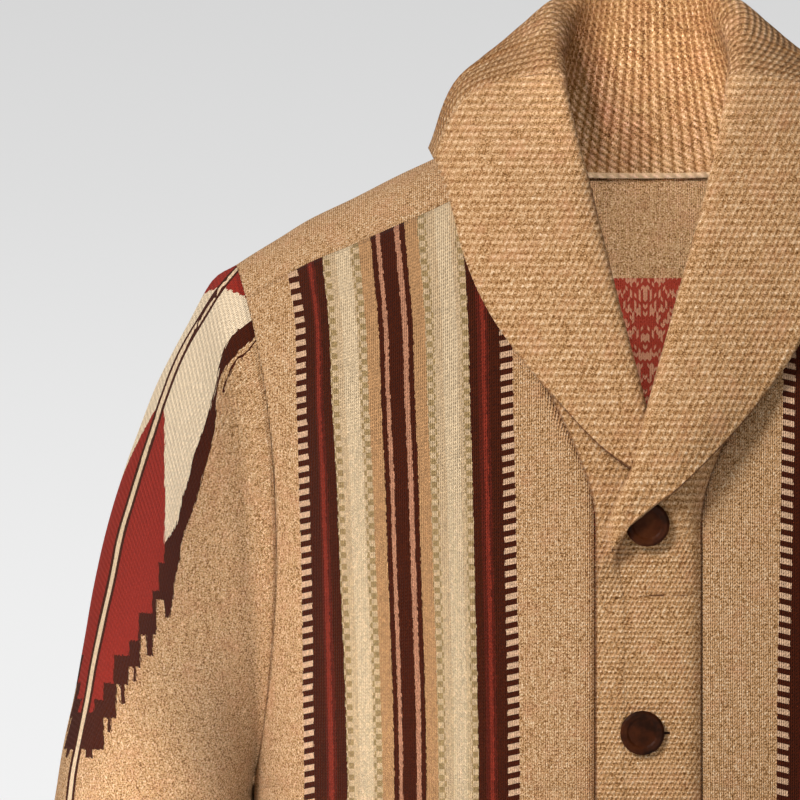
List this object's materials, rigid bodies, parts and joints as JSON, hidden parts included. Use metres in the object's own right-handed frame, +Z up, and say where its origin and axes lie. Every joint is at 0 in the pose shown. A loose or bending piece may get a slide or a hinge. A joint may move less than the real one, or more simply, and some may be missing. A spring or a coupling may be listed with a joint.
{
  "type": "shawl collar cardigan",
  "caption": "Knitted cardigan with a rolled shawl collar, buttoned front band, set-in sleeves and ribbed hem and cuffs, filled out and hollow with the fronts buttoned.",
  "frame": {"origin": "middle of the neck opening, at the height where the shoulders meet the neck", "axes": "+Z up, -Y out of the front, the wearer's left at +X"},
  "size_m": [0.684, 0.2447, 0.777],
  "materials": {
    "knit": "marled fine jersey knit, matte",
    "collar": "marled chunky rib knit, matte",
    "horn": "dark brown mottled, softly polished"
  },
  "bodies": {
    "root": {"back": "knit", "front_left": "knit", "front_right": "knit", "sleeve_left": "knit", "sleeve_right": "knit", "cuff_left": "knit", "cuff_right": "knit", "hem_back": "knit", "hem_front_left": "knit", "hem_front_right": "knit", "collar_back": "collar", "lapel_left": "collar", "lapel_right": "collar", "button_1": "horn", "button_2": "horn", "button_3": "horn", "button_4": "horn", "button_5": "horn"}
  },
  "joints": []
}
